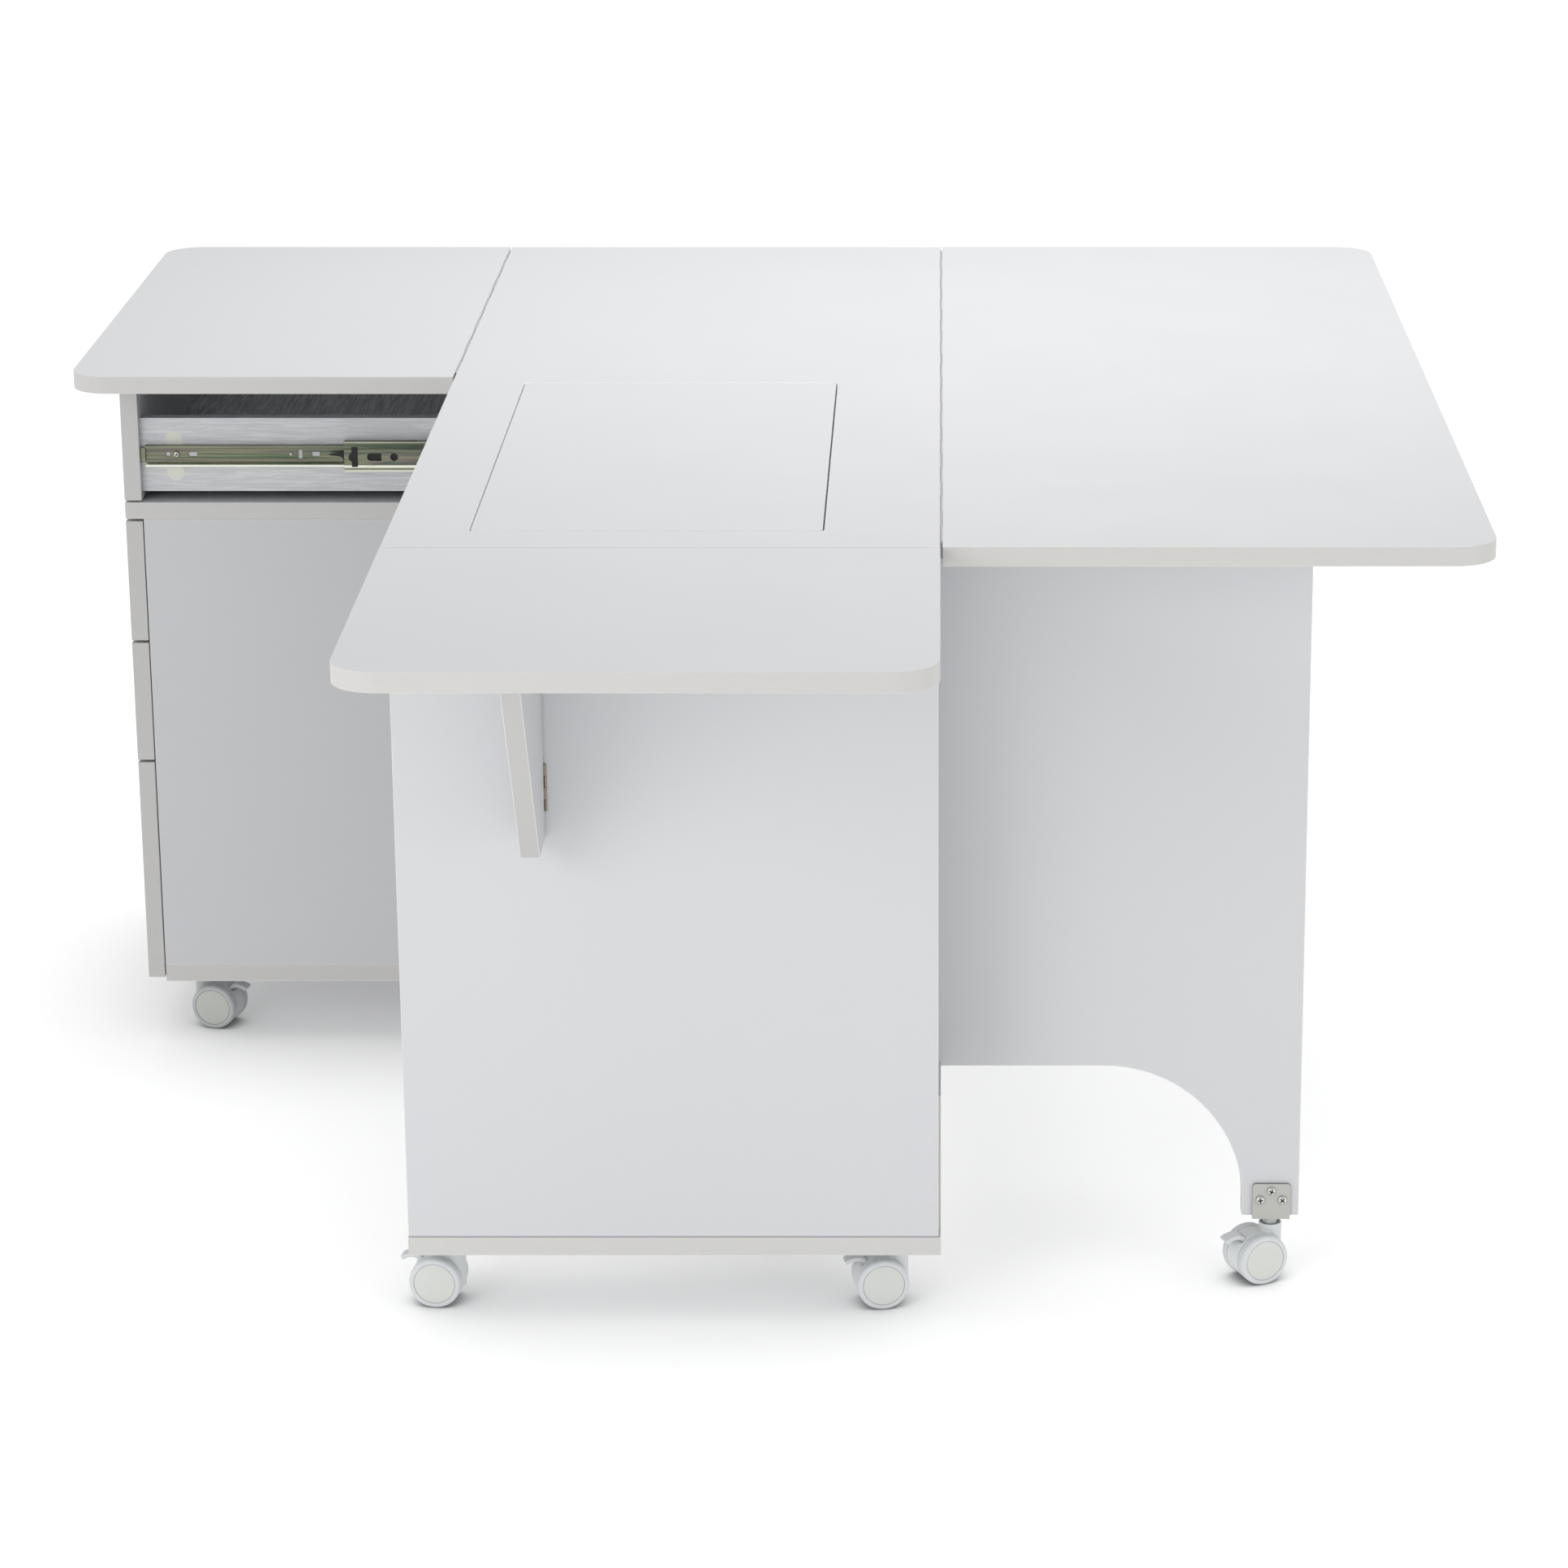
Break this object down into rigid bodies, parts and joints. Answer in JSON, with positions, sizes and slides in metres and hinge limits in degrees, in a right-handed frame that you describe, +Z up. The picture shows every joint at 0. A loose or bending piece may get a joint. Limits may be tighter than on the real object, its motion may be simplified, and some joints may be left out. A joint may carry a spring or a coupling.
{
  "type": "sewing table",
  "caption": "Folding sewing table with hinged leaves, machine lift, gate leg, pull-out drawer and a rolling drawer cart on locking casters.",
  "frame": {"origin": "floor level, at the centre of the bounding box of the opened table", "axes": "+Z up; +Y from the front flap to the back edge; +X from the left leaf to the right leaf"},
  "size_m": [1.399, 1.813, 0.7683],
  "materials": {
    "melamine_top": "smooth pale cool grey-white melamine board with fine satin sheen",
    "melamine_side": "smooth light grey melamine board, satin",
    "edge_banding": "warm off-white edge banding, satin",
    "grained_melamine": "pale grey melamine with embossed wood grain",
    "bright_steel": "bright zinc plated steel",
    "yellow_zinc": "iridescent yellow zinc passivated steel",
    "grey_metal": "warm grey painted steel plate",
    "caster_shell": "pale grey-white moulded plastic",
    "caster_wheel": "pale plastic tread with a greenish white hub disc"
  },
  "bodies": {
    "frame": {"center_top": "melamine_top", "near_end_panel": "melamine_top", "far_end_panel": "melamine_top", "divider_panel": "melamine_side", "back_panel": "melamine_side", "near_foot": "edge_banding", "far_foot": "edge_banding", "frame_caster_plates": "bright_steel", "lift_guides": "yellow_zinc", "drawer_outer_rails": "yellow_zinc", "fixed_hinge_leaves": "bright_steel"},
    "lift": {"lift_platform": "melamine_top", "lift_carriage": "bright_steel"},
    "right_leaf": {"right_leaf": "melamine_top", "right_leaf_hinges": "bright_steel"},
    "left_leaf": {"left_leaf": "melamine_top", "left_leaf_hinges": "bright_steel"},
    "front_flap": {"front_flap": "melamine_top", "front_flap_hinges": "bright_steel"},
    "brace": {"flap_brace": "melamine_side", "brace_hinges": "bright_steel"},
    "gate": {"gate_leg": "melamine_top", "gate_hinges": "bright_steel", "gate_bracket": "grey_metal", "gate_screws": "bright_steel"},
    "drawer": {"drawer_front": "edge_banding", "drawer_box": "grained_melamine", "drawer_inner_rails": "yellow_zinc"},
    "drawer_mid": {"drawer_mid_rails": "yellow_zinc"},
    "cart": {"cart_top": "edge_banding", "cart_walls": "melamine_side", "cart_base": "edge_banding", "cart_caster_plates": "bright_steel", "cart_runners": "bright_steel"},
    "cart_upper": {"cart_drawer_upper": "edge_banding"},
    "cart_middle": {"cart_drawer_middle": "edge_banding"},
    "cart_lower": {"cart_drawer_lower": "edge_banding"},
    "swivel_near_left": {"housing_near_left": "caster_shell"},
    "roll_near_left": {"wheels_near_left": "caster_wheel"},
    "lever_near_left": {"brake_near_left": "caster_shell"},
    "swivel_near_right": {"housing_near_right": "caster_shell"},
    "roll_near_right": {"wheels_near_right": "caster_wheel"},
    "lever_near_right": {"brake_near_right": "caster_shell"},
    "swivel_far_left": {"housing_far_left": "caster_shell"},
    "roll_far_left": {"wheels_far_left": "caster_wheel"},
    "swivel_far_right": {"housing_far_right": "caster_shell"},
    "roll_far_right": {"wheels_far_right": "caster_wheel"},
    "swivel_gate": {"housing_gate": "caster_shell"},
    "roll_gate": {"wheels_gate": "caster_wheel"},
    "lever_gate": {"brake_gate": "caster_shell"},
    "swivel_cart_front_near": {"housing_cart_front_near": "caster_shell"},
    "roll_cart_front_near": {"wheels_cart_front_near": "caster_wheel"},
    "lever_cart_front_near": {"brake_cart_front_near": "caster_shell"},
    "swivel_cart_front_far": {"housing_cart_front_far": "caster_shell"},
    "roll_cart_front_far": {"wheels_cart_front_far": "caster_wheel"},
    "lever_cart_front_far": {"brake_cart_front_far": "caster_shell"},
    "swivel_cart_rear_near": {"housing_cart_rear_near": "caster_shell"},
    "roll_cart_rear_near": {"wheels_cart_rear_near": "caster_wheel"},
    "swivel_cart_rear_far": {"housing_cart_rear_far": "caster_shell"},
    "roll_cart_rear_far": {"wheels_cart_rear_far": "caster_wheel"}
  },
  "joints": [
    {"name": "lift_travel", "type": "slide", "parent": "frame", "child": "lift", "axis": [0, 0, 1], "range_m": [-0.27, 0], "stiffness_N_per_m": 120, "springref_m": 0.8},
    {"name": "right_leaf_hinge", "type": "hinge", "parent": "frame", "child": "right_leaf", "pos_m": [0.2005, 0.2035, 0.7682], "axis": [0, -1, 0], "range_deg": [0, 180]},
    {"name": "left_leaf_hinge", "type": "hinge", "parent": "frame", "child": "left_leaf", "pos_m": [-0.3015, 0.5545, 0.7682], "axis": [0, 1, 0], "range_deg": [0, 90]},
    {"name": "front_flap_hinge", "type": "hinge", "parent": "frame", "child": "front_flap", "pos_m": [-0.0505, -0.5005, 0.7682], "axis": [-1, 0, 0], "range_deg": [0, 90]},
    {"name": "brace_hinge", "type": "hinge", "parent": "frame", "child": "brace", "pos_m": [-0.1609, -0.4638, 0.61], "axis": [0, 0, 1], "range_deg": [0, 90]},
    {"name": "gate_hinge", "type": "hinge", "parent": "frame", "child": "gate", "pos_m": [0.1758, -0.3299, 0.5], "axis": [0, 0, 1], "range_deg": [0, 90]},
    {"name": "drawer_slide", "type": "slide", "parent": "frame", "child": "drawer", "axis": [1, 0, 0], "range_m": [0, 0.3645]},
    {"name": "drawer_mid_slide", "type": "slide", "parent": "frame", "child": "drawer_mid", "axis": [1, 0, 0], "range_m": [0, 0.18225]},
    {"name": "cart_roll", "type": "slide", "parent": "frame", "child": "cart", "axis": [1, 0, 0], "range_m": [0, 0.3645]},
    {"name": "cart_upper_slide", "type": "slide", "parent": "cart", "child": "cart_upper", "axis": [-1, 0, 0], "range_m": [0, 0.34]},
    {"name": "cart_middle_slide", "type": "slide", "parent": "cart", "child": "cart_middle", "axis": [-1, 0, 0], "range_m": [0, 0.34]},
    {"name": "cart_lower_slide", "type": "slide", "parent": "cart", "child": "cart_lower", "axis": [-1, 0, 0], "range_m": [0, 0.34]},
    {"name": "swivel_near_left_turn", "type": "hinge", "parent": "frame", "child": "swivel_near_left", "pos_m": [-0.264, -0.4035, 0.045], "axis": [0, 0, 1], "continuous": true},
    {"name": "roll_near_left_spin", "type": "hinge", "parent": "swivel_near_left", "child": "roll_near_left", "pos_m": [-0.27991, -0.40183, 0.025], "axis": [0.1045, 0.9945, 0], "continuous": true},
    {"name": "lever_near_left_press", "type": "hinge", "parent": "swivel_near_left", "child": "lever_near_left", "pos_m": [-0.29155, -0.4006, 0.03997], "axis": [-0.1045, -0.9945, 0], "range_deg": [0, 10]},
    {"name": "swivel_near_right_turn", "type": "hinge", "parent": "frame", "child": "swivel_near_right", "pos_m": [0.158, -0.4035, 0.045], "axis": [0, 0, 1], "continuous": true},
    {"name": "roll_near_right_spin", "type": "hinge", "parent": "swivel_near_right", "child": "roll_near_right", "pos_m": [0.14224, -0.40628, 0.025], "axis": [-0.1736, 0.9848, 0], "continuous": true},
    {"name": "lever_near_right_press", "type": "hinge", "parent": "swivel_near_right", "child": "lever_near_right", "pos_m": [0.13072, -0.40831, 0.03997], "axis": [0.1736, -0.9848, 0], "range_deg": [0, 10]},
    {"name": "swivel_far_left_turn", "type": "hinge", "parent": "frame", "child": "swivel_far_left", "pos_m": [-0.264, 0.8495, 0.045], "axis": [0, 0, 1], "continuous": true},
    {"name": "roll_far_left_spin", "type": "hinge", "parent": "swivel_far_left", "child": "roll_far_left", "pos_m": [-0.27994, 0.85089, 0.025], "axis": [0.0872, 0.9962, 0], "continuous": true},
    {"name": "swivel_far_right_turn", "type": "hinge", "parent": "frame", "child": "swivel_far_right", "pos_m": [0.158, 0.8495, 0.045], "axis": [0, 0, 1], "continuous": true},
    {"name": "roll_far_right_spin", "type": "hinge", "parent": "swivel_far_right", "child": "roll_far_right", "pos_m": [0.14235, 0.84617, 0.025], "axis": [-0.2079, 0.9781, 0], "continuous": true},
    {"name": "swivel_gate_turn", "type": "hinge", "parent": "gate", "child": "swivel_gate", "pos_m": [0.518, -0.3405, 0.045], "axis": [0, 0, 1], "continuous": true},
    {"name": "roll_gate_spin", "type": "hinge", "parent": "swivel_gate", "child": "roll_gate", "pos_m": [0.5035, -0.34726, 0.025], "axis": [-0.4226, 0.9063, 0], "continuous": true},
    {"name": "lever_gate_press", "type": "hinge", "parent": "swivel_gate", "child": "lever_gate", "pos_m": [0.4929, -0.3522, 0.03997], "axis": [0.4226, -0.9063, 0], "range_deg": [0, 10]},
    {"name": "swivel_cart_front_near_turn", "type": "hinge", "parent": "cart", "child": "swivel_cart_front_near", "pos_m": [-0.614, 0.376, 0.045], "axis": [0, 0, 1], "continuous": true},
    {"name": "roll_cart_front_near_spin", "type": "hinge", "parent": "swivel_cart_front_near", "child": "roll_cart_front_near", "pos_m": [-0.59854, 0.37186, 0.025], "axis": [-0.2588, -0.9659, 0], "continuous": true},
    {"name": "lever_cart_front_near_press", "type": "hinge", "parent": "swivel_cart_front_near", "child": "lever_cart_front_near", "pos_m": [-0.58725, 0.36883, 0.03997], "axis": [0.2588, 0.9659, 0], "range_deg": [0, 10]},
    {"name": "swivel_cart_front_far_turn", "type": "hinge", "parent": "cart", "child": "swivel_cart_front_far", "pos_m": [-0.614, 0.72, 0.045], "axis": [0, 0, 1], "continuous": true},
    {"name": "roll_cart_front_far_spin", "type": "hinge", "parent": "swivel_cart_front_far", "child": "roll_cart_front_far", "pos_m": [-0.59854, 0.71586, 0.025], "axis": [-0.2588, -0.9659, 0], "continuous": true},
    {"name": "lever_cart_front_far_press", "type": "hinge", "parent": "swivel_cart_front_far", "child": "lever_cart_front_far", "pos_m": [-0.58725, 0.71283, 0.03997], "axis": [0.2588, 0.9659, 0], "range_deg": [0, 10]},
    {"name": "swivel_cart_rear_near_turn", "type": "hinge", "parent": "cart", "child": "swivel_cart_rear_near", "pos_m": [-0.25, 0.376, 0.045], "axis": [0, 0, 1], "continuous": true},
    {"name": "roll_cart_rear_near_spin", "type": "hinge", "parent": "swivel_cart_rear_near", "child": "roll_cart_rear_near", "pos_m": [-0.23435, 0.37267, 0.025], "axis": [-0.2079, -0.9781, 0], "continuous": true},
    {"name": "swivel_cart_rear_far_turn", "type": "hinge", "parent": "cart", "child": "swivel_cart_rear_far", "pos_m": [-0.25, 0.72, 0.045], "axis": [0, 0, 1], "continuous": true},
    {"name": "roll_cart_rear_far_spin", "type": "hinge", "parent": "swivel_cart_rear_far", "child": "roll_cart_rear_far", "pos_m": [-0.23497, 0.71453, 0.025], "axis": [-0.342, -0.9397, 0], "continuous": true}
  ],
  "couplings": [
    {"joint": "drawer_mid_slide", "follows": "drawer_slide", "ratio": 0.5}
  ]
}
